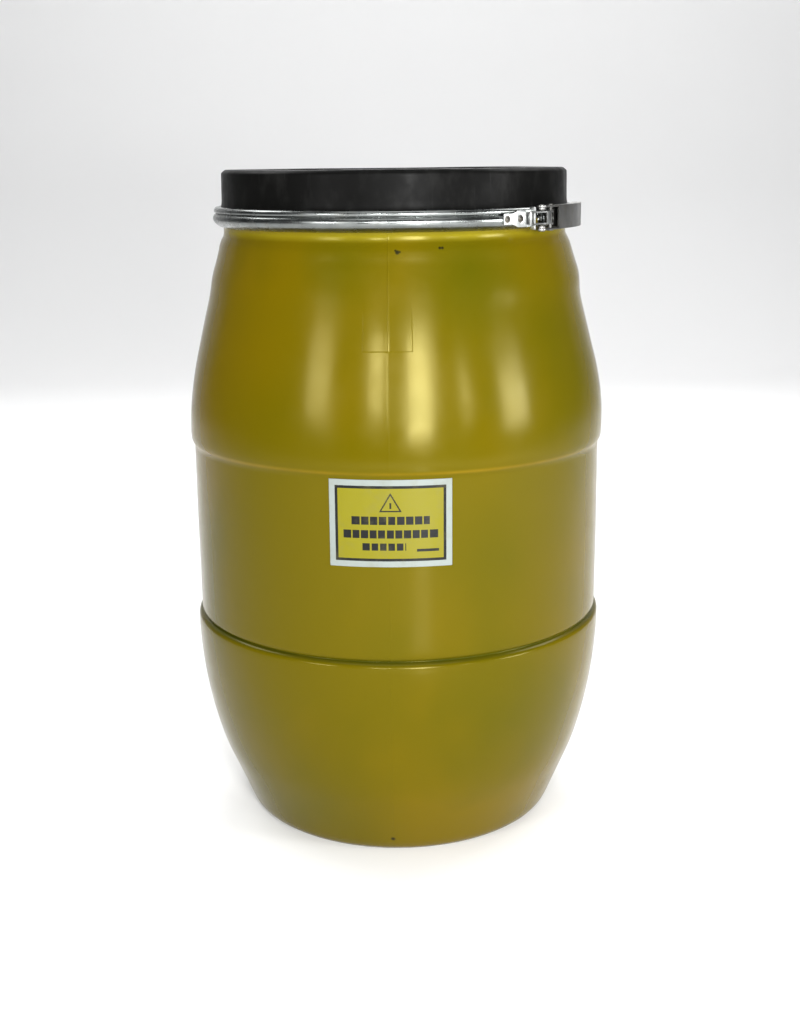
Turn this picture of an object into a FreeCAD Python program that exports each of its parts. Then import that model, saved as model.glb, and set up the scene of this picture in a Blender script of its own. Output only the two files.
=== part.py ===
"""Open-head polyethylene salvage drum with a dished lid and a lever-lock clamp ring.

The drum stands on its foot ring with its axis on +Z and the origin at the middle of its base.
A bearing is an angle round the drum's axis, in degrees, counted from the front (-Y) towards +X.
Closure heights are counted up and down from the ring's middle plane at ring_height.
"""
import FreeCAD, Part
import math
import os
import Sketcher

# name, millimetres or degrees, what it measures
DRIVING_SIZES = [
    # drum
    ("wall", 4.5, "drum wall"),
    ("foot_outer", 180.0, "radius of the foot ring's outer edge"),
    ("foot_inner", 164.0, "radius of the foot ring's inner edge"),
    ("base_hollow", 9.0, "rise of the base inside the foot ring"),
    ("base_run", 18.0, "how far the base's slope runs inwards"),
    ("base_lip", 3.0, "height over the wall where the inside's slope starts"),
    ("chime_radius", 188.5, "radius where the foot's rounding meets the lower cone"),
    ("chime_arc", 11.0, "profile radius of the foot's rounding"),
    ("chime_height", 6.0, "height where the foot's rounding meets the lower cone"),
    ("knuckle_inset", 26.5, "how far the lower knuckle stands inside the belly"),
    ("knuckle_height", 84.0, "height of the lower knuckle"),
    ("belly_radius", 248.5, "radius of the two belly bands"),
    ("belly_low_height", 234.0, "height where the lower belly becomes upright"),
    ("belly_low_arc", 560.0, "profile radius of the lower belly"),
    ("groove_height", 254.5, "height of the groove over the lower belly"),
    ("groove_half", 3.6, "half the groove's mouth"),
    ("groove_inset", 5.9, "how far the groove's bottom stands inside the belly"),
    ("waist_inset", 3.9, "how far the plain middle band stands inside the belly"),
    ("waist_drop", 39.0, "from the upper belly's top down to the middle band's top"),
    ("step_rise", 14.0, "height of the slope up to the upper belly"),
    ("belly_high_drop", 73.0, "from the shoulder's slope down to the upper belly's top"),
    ("belly_high_arc", 330.0, "profile radius over the upper belly"),
    ("shoulder_inset", 13.3, "how far the shoulder's slope starts inside the belly"),
    ("shoulder_drop", 57.0, "from the saddle's foot down to the shoulder's slope"),
    ("saddle_radius", 220.6, "radius at the foot of the shoulder's saddle"),
    ("saddle_drop", 43.0, "from the knuckle's top down to the saddle's foot"),
    ("saddle_rise", 20.0, "height of the saddle"),
    ("saddle_step", 1.6, "how far the saddle closes in"),
    ("saddle_arc", 48.0, "profile radius of the saddle"),
    ("crown_radius", 213.4, "radius at the top of the shoulder's knuckle"),
    ("crown_drop", 33.0, "from the neck's foot down to the knuckle's top"),
    ("crown_arc", 52.0, "profile radius of the shoulder's knuckle"),
    ("neck_radius", 200.8, "outer radius of the neck under the ring"),
    ("neck_drop", 21.0, "from the ring's middle plane down to the neck's foot"),
    ("collar_drop", 8.0, "height of the fillet under the neck"),
    ("collar_arc", 14.0, "profile radius of the fillet under the neck"),
    # rim, lid and gasket
    ("bead_radius", 208.0, "outer radius of the drum's bead and the lid's flange"),
    ("bead_half", 5.6, "half height of bead and flange together at their outer edge"),
    ("bead_root", 8.8, "half height of bead and flange together at the neck"),
    ("parting", 0.15, "half the gap between bead and flange"),
    ("lip_inner", 191.6, "inner radius of the mouth"),
    ("lip_outer", 196.3, "outer radius of the mouth's lip"),
    ("lip_round", 1.5, "rounding on the lip's two edges"),
    ("lid_top", 780.0, "overall height"),
    ("lid_radius", 202.0, "outer radius of the lid's rim wall"),
    ("lid_wall", 4.2, "lid wall"),
    ("lid_roof", 6.0, "thickness over the gasket channel"),
    ("lid_edge_round", 6.0, "rounding of the rim's outer top edge"),
    ("recess_radius", 182.8, "radius of the dished recess in the lid"),
    ("recess_depth", 35.0, "depth of the dished recess"),
    ("recess_round", 5.0, "rounding at the recess's top and bottom edges"),
    ("panel_step_radius", 128.0, "radius of the raised middle of the lid's panel"),
    ("panel_step", 5.0, "height of the raised middle"),
    ("panel_step_run", 7.0, "how far the raised middle's side leans"),
    ("gasket_height", 5.7, "thickness of the gasket"),
    ("gasket_gap", 0.3, "clearance round the gasket and over the lip"),
    # clamp ring
    ("rim_drop", 53.0, "from the lid's top down to the ring's middle plane"),
    ("ring_nose", 212.6, "radius of the ring's outer face"),
    ("ring_nose_half", 5.0, "half height of the outer face"),
    ("ring_bend", 209.0, "radius at the bend of the legs"),
    ("ring_bend_half", 8.0, "half height at the bend of the legs"),
    ("ring_leg", 203.2, "radius at the legs' ends"),
    ("ring_leg_half", 11.3, "half height at the legs' ends"),
    ("ring_sheet", 1.5, "thickness of the ring's strip"),
    ("strip_lean", 0.375, "how much closer together the strip's inner corners lie"),
    ("gap_start", 44.2, "bearing of the strip's pulled end"),
    ("gap_end", 48.6, "bearing of the strip's fixed end"),
    # closure
    ("seat_gap", 0.3, "clearance between moving pieces of the closure"),
    ("plate", 1.6, "thickness of the brackets' plate"),
    ("rivet_shank", 2.0, "radius of the rivets"),
    ("rivet_head", 4.0, "radius of the rivets' domed heads"),
    ("rivet_dome", 1.4, "height of the rivets' domed heads"),
    ("rivet_tail", 1.1, "height of the rivets' flat inner heads"),
    ("rivet_tail_head", 3.2, "radius of the rivets' flat inner heads"),
    ("fit", 0.05, "radial clearance of pins and rivets in their holes"),
    ("cut_over", 1.0, "how far cuts start and end beyond the metal"),
    ("tongue_start", 32.8, "bearing of the pull bracket's tongue end"),
    ("tongue_half", 5.7, "half height of the tongue"),
    ("shoulder_start", 35.9, "bearing where the pull bracket widens"),
    ("shoulder_end", 38.1, "bearing where the pull bracket is at its full height"),
    ("pull_half", 8.8, "half height of the pull bracket"),
    ("ear_start", 43.0, "bearing of the ear's pulling face"),
    ("ear_sheet", 0.5, "bearing that the ear's thickness takes"),
    ("ear_half", 12.0, "half height of the ear"),
    ("ear_radius", 220.5, "radius of the ear's tip"),
    ("pull_rivet_1", 34.0, "bearing of the pull bracket's first rivet"),
    ("pull_rivet_2", 39.0, "bearing of the pull bracket's second rivet"),
    ("pivot_bearing", 46.3, "bearing of the lever's pivot"),
    ("pivot_radius", 219.2, "radius from the drum's axis to the lever's pivot"),
    ("pivot_pin", 2.25, "radius of the lever's pivot and of the link's pin"),
    ("link_bearing", 51.55, "bearing of the link's pin"),
    ("link_radius", 216.6, "radius from the drum's axis to the link's pin"),
    ("hook_play", 1.2, "gap between the hook bar and the ear"),
    ("hook_lift", 0.9, "gap between the hook bar and the plate under it"),
    ("hook_bar", 2.0, "radius of the hook bar"),
    ("link_gap", 1.9, "gap between the link and the arms beside it"),
    ("bridge_start", 48.75, "bearing of the link's bridge"),
    ("bridge_end", 50.75, "bearing of the other end of the link's bridge"),
    ("arm_gap", 0.6, "gap between the lever bracket's arms and the lever"),
    ("arm_clear", 0.9, "gap between the arms' inner edge and the strip beside it"),
    ("arm_outer", 213.5, "radius of the arms' outer edge"),
    ("arm_boss", 5.0, "radius of the arms' rounded ends"),
    ("arm_bearing", 50.0, "bearing where the arms turn out to the pivot"),
    ("arm_start", 48.3, "bearing where the arms' inner edge starts"),
    ("base_start", 54.6, "bearing where the lever bracket's base starts"),
    ("base_end", 63.4, "bearing where the lever bracket's base ends"),
    ("base_rivet_1", 57.0, "bearing of the lever bracket's first rivet"),
    ("base_rivet_2", 61.2, "bearing of the lever bracket's second rivet"),
    ("lever_half", 13.0, "half height of the lever"),
    ("lever_sheet", 1.8, "thickness of the lever"),
    ("lever_boss", 5.9, "radius of the lever's rounded start"),
    ("lever_inner", 209.0, "radius of the lever's inner edge"),
    ("lever_outer", 219.0, "radius of the lever's outer face"),
    ("lever_rise", 222.0, "radius of the outer face where the web starts"),
    ("web_start", 54.15, "bearing where the lever's web starts"),
    ("web_settle", 59.0, "bearing where the web comes down to its outer radius"),
    ("tip_bearing", 88.0, "bearing of the lever's tip"),
    ("tip_trim", 2.0, "bearing over which the flanges slope off at the tip"),
    ("pin_head", 3.8, "radius of the pins' outer heads"),
    ("pin_dome", 1.2, "height of the pins' outer heads"),
    ("seal_radius", 215.8, "radius from the drum's axis to the seal holes"),
    ("seal_hole", 1.2, "radius of the seal holes"),
    ("seal_half", 6.0, "half height of the seal lug's ear"),
    ("seal_gap", 0.8, "bearing between the lever's tip and the seal lug"),
    ("seal_foot", 4.4, "bearing that the seal lug's foot takes"),
    ("seal_foot_half", 4.8, "half height of the seal lug's foot"),
    ("seal_rivet", 2.6, "bearing from the seal lug's ear to its rivet"),
    # label
    ("label_width", 133.0, "width of the label, measured round the drum"),
    ("label_height", 96.0, "height of the label"),
    ("label_drop", 0.8, "gap from the label's top edge to the top of the middle band"),
    ("label_sheet", 0.3, "thickness of the label"),
    ("label_bearing", -1.7, "bearing of the label's middle"),
]

# name, formula over the other sizes, what it measures
TIED_SIZES = [
    ("ring_height", "lid_top - rim_drop", "height of the ring's middle plane"),
    ("lip_top", "lid_top - lid_roof - gasket_height - gasket_gap", "height of the mouth's lip"),
    ("neck_height", "ring_height - neck_drop", "height where the shoulder meets the neck"),
    ("crown_height", "neck_height - crown_drop", "height of the top of the shoulder's knuckle"),
    ("saddle_height", "crown_height - saddle_drop", "height of the foot of the saddle"),
    ("shoulder_height", "saddle_height - shoulder_drop", "height where the shoulder starts"),
    ("belly_high_height", "shoulder_height - belly_high_drop", "top of the upper belly"),
    ("waist_top", "belly_high_height - waist_drop", "top of the plain middle band"),
    ("knuckle_radius", "belly_radius - knuckle_inset", "radius at the lower knuckle"),
    ("groove_radius", "belly_radius - groove_inset", "radius at the groove's bottom"),
    ("waist_radius", "belly_radius - waist_inset", "radius of the plain middle band"),
    ("shoulder_radius", "belly_radius - shoulder_inset", "radius where the shoulder starts"),
    ("hook_radius", "ring_nose + seat_gap + plate + hook_lift + hook_bar",
     "radius from the drum's axis to the hook bar"),
    ("arm_half", "lever_half - lever_sheet - arm_gap", "half height over the bracket's arms"),
    ("link_half", "arm_half - plate - link_gap", "half height of the link"),
    ("link_eye", "link_radius - ring_nose - seat_gap", "radius of the straps round the pin"),
    ("strip_slope", "(ring_nose - ring_bend) / (ring_bend_half - ring_nose_half)",
     "how much the strip closes in for each millimetre above its nose"),
    ("arm_inner", "ring_nose + arm_clear - (arm_half - plate - ring_nose_half) * strip_slope",
     "radius of the arms' inner edge"),
]

Z_AXIS = FreeCAD.Vector(0, 0, 1)
TOUCH = 1e-7
SAME_POINT = 1e-4
FULL_TURN = 360.0


class Size:
    """A number together with the spreadsheet expression that gives it."""

    def __init__(self, number, text):
        self.number = number
        self.text = text

    def __add__(self, other):
        return Size(self.number + number_of(other), "(%s + %s)" % (self.text, text_of(other)))

    def __sub__(self, other):
        return Size(self.number - number_of(other), "(%s - %s)" % (self.text, text_of(other)))

    def __mul__(self, other):
        return Size(self.number * number_of(other), "(%s * %s)" % (self.text, text_of(other)))

    def __truediv__(self, other):
        return Size(self.number / number_of(other), "(%s / %s)" % (self.text, text_of(other)))

    def __neg__(self):
        return Size(-self.number, "(0 - %s)" % self.text)


class Sizes:
    """The spreadsheet's cells by name, each as a Size."""

    def __init__(self, sheet):
        self.sheet = sheet

    def __getattr__(self, name):
        return Size(float(self.sheet.get(name)), "Sizes." + name)


def number_of(value):
    return value.number if isinstance(value, Size) else float(value)


def text_of(value):
    return value.text if isinstance(value, Size) else repr(float(value))


def polar(radius, bearing):
    """The point at a radius and a bearing, in a body's own frame, whose +X is bearing 0."""
    if not isinstance(bearing, Size):
        return radius * math.cos(math.radians(bearing)), radius * math.sin(math.radians(bearing))
    angle = math.radians(bearing.number)
    along = Size(math.cos(angle), "cos(%s)" % bearing.text)
    across = Size(math.sin(angle), "sin(%s)" % bearing.text)
    return along * radius, across * radius


def arc_degrees(length, radius):
    """The bearing that a length takes, measured round a radius."""
    return length / radius * (180.0 / math.pi)


def arc_length(bearing, radius):
    """The length that a bearing takes, measured round a radius."""
    return bearing * radius * (math.pi / 180.0)


def make_sheet(doc):
    sheet = doc.addObject("Spreadsheet::Sheet", "Sizes")
    tied = [(name, "=" + formula, meaning) for name, formula, meaning in TIED_SIZES]
    for row, (name, value, meaning) in enumerate(DRIVING_SIZES + tied, start=1):
        sheet.set("A%d" % row, name)
        sheet.set("B%d" % row, str(value))
        sheet.set("C%d" % row, meaning)
        sheet.setAlias("B%d" % row, name)
    doc.recompute()
    return Sizes(sheet)


def place(item, bearing, height):
    """Turns an object's own +X to a bearing and lifts it to a height."""
    item.Placement = FreeCAD.Placement(
        FreeCAD.Vector(0, 0, number_of(height)),
        FreeCAD.Rotation(Z_AXIS, number_of(bearing) - 90.0),
    )
    item.setExpression("Placement.Rotation.Angle", "(%s) * 1deg - 90deg" % text_of(bearing))
    item.setExpression("Placement.Base.z", "(%s) * 1mm" % text_of(height))


def new_body(doc, name, bearing, height):
    body = doc.addObject("PartDesign::Body", name)
    body.Label = name
    place(body, bearing, height)
    return body


def new_sketch(body, role, name, lift):
    """A sketch on one of the body's own planes, raised along the plane's normal."""
    sketch = body.newObject("Sketcher::SketchObject", name)
    plane = [feature for feature in body.Origin.OriginFeatures if feature.Role == role][0]
    sketch.AttachmentSupport = [(plane, "")]
    sketch.MapMode = "FlatFace"
    sketch.AttachmentOffset = FreeCAD.Placement(
        FreeCAD.Vector(0, 0, number_of(lift)), FreeCAD.Rotation()
    )
    sketch.setExpression("AttachmentOffset.Base.z", "(%s) * 1mm" % text_of(lift))
    return sketch


def pin_number(sketch, kind, entity, point, value):
    """Fixes one coordinate of a sketch point to a Size."""
    number = number_of(value)
    if not isinstance(value, Size) and abs(number) < TOUCH:
        axis = -2 if kind == "DistanceX" else -1
        sketch.addConstraint(Sketcher.Constraint("PointOnObject", entity, point, axis))
        return
    index = sketch.addConstraint(Sketcher.Constraint(kind, entity, point, number))
    sketch.setExpression("Constraints[%d]" % index, "(%s) * 1mm" % text_of(value))


def arc_middle(start, end, radius):
    """Middle of the arc from start to end. A positive radius bulges to the right of the way."""
    chord = end - start
    half = chord.Length / 2
    size = abs(radius)
    rise = size - math.sqrt(size * size - half * half)
    side = FreeCAD.Vector(chord.y, -chord.x, 0).normalize()
    return (start + end) / 2 + side * math.copysign(rise, radius)


def outline(sketch, points):
    """Closes an outline through points (x, y) or (x, y, radius of the arc to the next one)."""
    corners = [FreeCAD.Vector(number_of(p[0]), number_of(p[1]), 0) for p in points]
    ends = []
    for index, point in enumerate(points):
        start, end = corners[index], corners[(index + 1) % len(corners)]
        if len(point) == 3:
            middle = arc_middle(start, end, number_of(point[2]))
            entity = sketch.addGeometry(Part.Arc(start, middle, end), False)
        else:
            entity = sketch.addGeometry(Part.LineSegment(start, end), False)
        first = 1 if sketch.getPoint(entity, 1).distanceToPoint(start) < SAME_POINT else 2
        ends.append((entity, first, 3 - first))
    for index, (entity, first, last) in enumerate(ends):
        following = ends[(index + 1) % len(ends)]
        sketch.addConstraint(
            Sketcher.Constraint("Coincident", entity, last, following[0], following[1])
        )
        pin_number(sketch, "DistanceX", entity, first, points[index][0])
        pin_number(sketch, "DistanceY", entity, first, points[index][1])
        if len(points[index]) == 3:
            radius = points[index][2]
            size = -radius if number_of(radius) < 0 else radius
            limit = sketch.addConstraint(
                Sketcher.Constraint("Radius", entity, number_of(size))
            )
            sketch.setExpression("Constraints[%d]" % limit, "(%s) * 1mm" % text_of(size))


def disc(sketch, centre, radius):
    """A full circle round a centre (x, y)."""
    middle = FreeCAD.Vector(number_of(centre[0]), number_of(centre[1]), 0)
    entity = sketch.addGeometry(Part.Circle(middle, Z_AXIS, number_of(radius)), False)
    pin_number(sketch, "DistanceX", entity, 3, centre[0])
    pin_number(sketch, "DistanceY", entity, 3, centre[1])
    index = sketch.addConstraint(Sketcher.Constraint("Radius", entity, number_of(radius)))
    sketch.setExpression("Constraints[%d]" % index, "(%s) * 1mm" % text_of(radius))


def sector(sketch, inner, outer, start, end):
    """A piece of a ring round the drum's axis, between two bearings."""
    outline(sketch, [
        (*polar(outer, start), outer),
        polar(outer, end),
        (*polar(inner, end), -inner),
        polar(inner, start),
    ])


def feature(body, kind, name, sketch):
    item = body.newObject("PartDesign::" + kind, name)
    item.Profile = sketch
    sketch.Visibility = False
    return item


def pad(body, name, sketch, length):
    item = feature(body, "Pad", name, sketch)
    item.Length = number_of(length)
    item.setExpression("Length", "(%s) * 1mm" % text_of(length))
    return item


def pocket(body, name, sketch, length, ahead=True):
    """Cuts from the sketch's plane, ahead along its normal or back against it."""
    item = feature(body, "Pocket", name, sketch)
    item.Length = number_of(length)
    item.setExpression("Length", "(%s) * 1mm" % text_of(length))
    item.Reversed = ahead
    return item


def turned(body, kind, name, sketch, axis="V_Axis"):
    """Revolution or Groove of a sketch, all the way round one of its axes."""
    item = feature(body, kind, name, sketch)
    item.ReferenceAxis = (sketch, [axis])
    item.Angle = FULL_TURN
    return item


def slab(body, name, low, high, draw):
    """A pad of level outlines from one height to another; draw(sketch) draws them."""
    sketch = new_sketch(body, "XY_Plane", name + "Sketch", low)
    draw(sketch)
    return pad(body, name, sketch, high - low)


def pierce(body, name, centre, radius, low, high):
    """An upright round hole between two heights."""
    sketch = new_sketch(body, "XY_Plane", name + "Sketch", low)
    disc(sketch, centre, radius)
    return pocket(body, name, sketch, high - low)


def radial_hole(body, name, bearing, radius):
    """A round hole from the drum's axis outwards at a bearing in the body's own frame."""
    sketch = new_sketch(body, "YZ_Plane", name + "Sketch", 0.0)
    sketch.AttachmentOffset = FreeCAD.Placement(
        FreeCAD.Vector(0, 0, 0), FreeCAD.Rotation(FreeCAD.Vector(0, 1, 0), number_of(bearing))
    )
    sketch.setExpression("AttachmentOffset.Rotation.Angle", "(%s) * 1deg" % text_of(bearing))
    disc(sketch, (0.0, 0.0), radius)
    item = feature(body, "Pocket", name, sketch)
    item.Type = "ThroughAll"
    item.Reversed = True
    return item


def mirrored(points):
    """The same outline points on the other side of the middle plane, in reverse order."""
    return [(p[0], -p[1]) for p in reversed(points)]


def drum_body(doc, s):
    """Blow-moulded shell: foot ring, two belly bands, shoulder, neck, bead and mouth."""
    body = new_body(doc, "drum_body", 90.0, 0.0)
    neck_base = s.ring_height - s.bead_root
    outer = [
        (s.foot_inner, 0.0),
        (s.foot_outer, 0.0, s.chime_arc),
        (s.chime_radius, s.chime_height),
        (s.knuckle_radius, s.knuckle_height, s.belly_low_arc),
        (s.belly_radius, s.belly_low_height),
        (s.belly_radius, s.groove_height - s.groove_half),
        (s.groove_radius, s.groove_height),
        (s.waist_radius, s.groove_height + s.groove_half),
        (s.waist_radius, s.waist_top),
        (s.belly_radius, s.waist_top + s.step_rise),
        (s.belly_radius, s.belly_high_height, s.belly_high_arc),
        (s.shoulder_radius, s.shoulder_height),
        (s.saddle_radius, s.saddle_height, -s.saddle_arc),
        (s.saddle_radius - s.saddle_step, s.saddle_height + s.saddle_rise, s.crown_arc),
        (s.crown_radius, s.crown_height),
        (s.neck_radius + s.collar_drop / 2.0, s.neck_height - s.collar_drop, -s.collar_arc),
        (s.neck_radius, s.neck_height),
        (s.neck_radius, neck_base),
        (s.bead_radius, s.ring_height - s.bead_half),
        (s.bead_radius, s.ring_height - s.parting),
        (s.lip_outer, s.ring_height - s.parting),
        (s.lip_outer, s.lip_top - s.lip_round, s.lip_round),
        (s.lip_outer - s.lip_round, s.lip_top),
        (s.lip_inner + s.lip_round, s.lip_top, s.lip_round),
        (s.lip_inner, s.lip_top - s.lip_round),
        (s.lip_inner, neck_base),
        (s.neck_radius - s.wall, s.neck_height),
        (s.crown_radius - s.wall, s.crown_height, -s.crown_arc),
        (s.saddle_radius - s.saddle_step - s.wall, s.saddle_height + s.saddle_rise),
        (s.saddle_radius - s.wall, s.saddle_height),
        (s.shoulder_radius - s.wall, s.shoulder_height, -s.belly_high_arc),
        (s.belly_radius - s.wall, s.belly_high_height),
        (s.belly_radius - s.wall, s.waist_top + s.step_rise),
        (s.waist_radius - s.wall, s.waist_top),
        (s.waist_radius - s.wall, s.groove_height + s.groove_half * 2.0),
        (s.groove_radius - s.wall, s.groove_height),
        (s.belly_radius - s.wall, s.groove_height - s.groove_half * 2.0),
        (s.belly_radius - s.wall, s.belly_low_height, -s.belly_low_arc),
        (s.knuckle_radius - s.wall, s.knuckle_height),
        (s.chime_radius - s.wall, s.chime_height + s.wall),
        (s.foot_inner, s.wall + s.base_lip),
        (s.foot_inner - s.base_run, s.base_hollow + s.wall),
        (0.0, s.base_hollow + s.wall),
        (0.0, s.base_hollow),
        (s.foot_inner - s.base_run, s.base_hollow),
    ]
    sketch = new_sketch(body, "XZ_Plane", "DrumProfile", 0.0)
    outline(sketch, outer)
    turned(body, "Revolution", "DrumShell", sketch)
    return body


def label(doc, s):
    """Printed film that follows the plain middle band."""
    outer = doc.addObject("Part::Cylinder", "LabelOutside")
    inner = doc.addObject("Part::Cylinder", "LabelInside")
    spread = arc_degrees(s.label_width, s.waist_radius)
    for item, radius in ((outer, s.waist_radius + s.label_sheet), (inner, s.waist_radius)):
        item.setExpression("Radius", "(%s) * 1mm" % radius.text)
        item.setExpression("Height", "(%s) * 1mm" % s.label_height.text)
        item.setExpression("Angle", "(%s) * 1deg" % spread.text)
    film = doc.addObject("Part::Cut", "label")
    film.Base = outer
    film.Tool = inner
    film.Label = "label"
    place(film, s.label_bearing - spread / 2.0, s.waist_top - s.label_drop - s.label_height)
    return film


def lid(doc, s):
    """Moulded lid: flange, rim wall, gasket channel, dished recess with a raised middle."""
    body = new_body(doc, "lid", 90.0, 0.0)
    channel_outer = s.lid_radius - s.lid_wall
    channel_inner = s.recess_radius + s.lid_wall
    panel_top = s.lid_top - s.recess_depth
    panel_low = panel_top - s.lid_wall
    roof = s.lid_top - s.lid_roof
    step_foot = s.panel_step_radius + s.panel_step_run
    points = [
        (channel_outer, s.ring_height + s.parting),
        (s.bead_radius, s.ring_height + s.parting),
        (s.bead_radius, s.ring_height + s.bead_half),
        (s.lid_radius, s.ring_height + s.bead_root),
        (s.lid_radius, s.lid_top - s.lid_edge_round, s.lid_edge_round),
        (s.lid_radius - s.lid_edge_round, s.lid_top),
        (s.recess_radius + s.recess_round, s.lid_top, s.recess_round),
        (s.recess_radius, s.lid_top - s.recess_round),
        (s.recess_radius, panel_top + s.recess_round, -s.recess_round),
        (s.recess_radius - s.recess_round, panel_top),
        (step_foot, panel_top),
        (s.panel_step_radius, panel_top + s.panel_step),
        (0.0, panel_top + s.panel_step),
        (0.0, panel_low + s.panel_step),
        (s.panel_step_radius, panel_low + s.panel_step),
        (step_foot, panel_low),
        (channel_inner, panel_low),
        (channel_inner, roof),
        (channel_outer, roof),
    ]
    sketch = new_sketch(body, "XZ_Plane", "LidProfile", 0.0)
    outline(sketch, points)
    turned(body, "Revolution", "LidShell", sketch)
    return body


def lid_gasket(doc, s):
    """Foam ring that fills the roof of the lid's channel over the drum's lip."""
    body = new_body(doc, "lid_gasket", 90.0, 0.0)
    roof = s.lid_top - s.lid_roof
    inner = s.recess_radius + s.lid_wall + s.gasket_gap
    outer = s.lid_radius - s.lid_wall - s.gasket_gap
    sketch = new_sketch(body, "XZ_Plane", "GasketProfile", 0.0)
    outline(sketch, [
        (inner, s.lip_top + s.gasket_gap),
        (outer, s.lip_top + s.gasket_gap),
        (outer, roof),
        (inner, roof),
    ])
    turned(body, "Revolution", "GasketRing", sketch)
    return body


def ring_section(s):
    """Outline of the rolled strip: an upright nose with two legs that close in."""
    half = [
        (s.ring_nose, s.ring_nose_half),
        (s.ring_bend, s.ring_bend_half),
        (s.ring_leg, s.ring_leg_half),
    ]
    inside = [(radius - s.ring_sheet, height - s.strip_lean) for radius, height in half]
    inside[2] = (s.ring_leg - s.ring_sheet / 2.0, s.ring_leg_half - s.ring_sheet)
    upper = half + inside[::-1]
    lower = mirrored(upper)
    return upper[:3] + inside[::-1] + lower[:3] + lower[3:]


def clamp_band(doc, s):
    """Rolled steel strip round the rim, open between its two ends, drilled for its rivets."""
    body = new_body(doc, "clamp_band", s.gap_end, s.ring_height)
    sketch = new_sketch(body, "XZ_Plane", "BandSection", 0.0)
    outline(sketch, ring_section(s))
    band = turned(body, "Revolution", "BandStrip", sketch)
    open_bearing = s.gap_end - s.gap_start
    band.setExpression("Angle", "360deg - (%s) * 1deg" % open_bearing.text)
    for index, bearing in enumerate(rivet_bearings(s)):
        radial_hole(body, "RivetHole%d" % index, bearing - s.gap_end, s.rivet_shank + s.fit)
    return body


def seal_ear_bearing(s):
    return s.tip_bearing + s.seal_gap


def seal_hole_run(s):
    """Depth of the cut for a seal hole: through the sheet and clear of it on both sides."""
    return arc_length(s.ear_sheet, s.seal_radius) + s.cut_over * 2.0


def rivet_bearings(s):
    return [
        s.pull_rivet_1,
        s.pull_rivet_2,
        s.base_rivet_1,
        s.base_rivet_2,
        seal_ear_bearing(s) + s.seal_rivet,
    ]


def rivet(doc, s, name, bearing):
    """Round-headed rivet through a bracket's plate and the ring's strip."""
    body = new_body(doc, name, bearing, s.ring_height)
    seat = s.ring_nose + s.seat_gap + s.plate
    inside = s.ring_nose - s.ring_sheet - s.fit * 2.0
    sketch = new_sketch(body, "XZ_Plane", name + "Profile", 0.0)
    outline(sketch, [
        (inside - s.rivet_tail, 0.0),
        (seat + s.rivet_dome, 0.0, -(s.rivet_head * s.rivet_head / (s.rivet_dome * 2.0)
                                     + s.rivet_dome / 2.0)),
        (seat, s.rivet_head),
        (seat, s.rivet_shank),
        (inside, s.rivet_shank),
        (inside, s.rivet_tail_head),
        (inside - s.rivet_tail, s.rivet_tail_head),
    ])
    turned(body, "Revolution", name + "Shape", sketch, "H_Axis")
    return body


def plate_sector(sketch, s, start, end):
    """The stretch of bracket plate that lies on the ring's nose between two bearings."""
    inner = s.ring_nose + s.seat_gap
    sector(sketch, inner, inner + s.plate, start, end)


def pull_bracket(doc, s):
    """Riveted plate on the strip's pulled end, folded out into a slotted ear."""
    middle = s.shoulder_end
    body = new_body(doc, "pull_bracket", middle, s.ring_height)
    inner = s.ring_nose + s.seat_gap
    ear_end = s.ear_start + s.ear_sheet

    def whole(sketch):
        plate_sector(sketch, s, s.tongue_start - middle, ear_end - middle)

    def ear(sketch):
        sector(sketch, inner, s.ear_radius, s.ear_start - middle, ear_end - middle)

    slab(body, "Plate", -s.pull_half, s.pull_half, whole)
    slab(body, "Ear", -s.ear_half, s.ear_half, ear)
    for side, name in ((1.0, "Upper"), (-1.0, "Lower")):
        trim = new_sketch(body, "YZ_Plane", name + "Trim", s.ring_leg)
        left = polar(s.ring_nose, s.tongue_start - middle)[1] - s.cut_over
        start = polar(s.ring_nose, s.shoulder_start - middle)[1]
        outline(trim, [
            (left, s.tongue_half * side),
            (start, s.tongue_half * side),
            (0.0, s.pull_half * side),
            (0.0, (s.pull_half + s.cut_over) * side),
            (left, (s.pull_half + s.cut_over) * side),
        ])
        pocket(body, name + "Shoulder", trim, s.ear_radius - s.ring_leg)
    slot_near = s.link_half - s.plate - s.seat_gap
    slot_far = s.link_half + s.seat_gap
    over = arc_degrees(s.cut_over, s.ear_radius)
    for name, low, high in (
        ("UpperSlot", slot_near, slot_far),
        ("LowerSlot", -slot_far, -slot_near),
    ):
        sketch = new_sketch(body, "XY_Plane", name + "Sketch", low)
        sector(sketch, inner + s.plate, s.ear_radius + s.cut_over,
               s.ear_start - middle - over, ear_end - middle + over)
        pocket(body, name, sketch, high - low)
    for index, bearing in enumerate((s.pull_rivet_1, s.pull_rivet_2)):
        radial_hole(body, "Hole%d" % index, bearing - middle, s.rivet_shank + s.fit)
    return body


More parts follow.
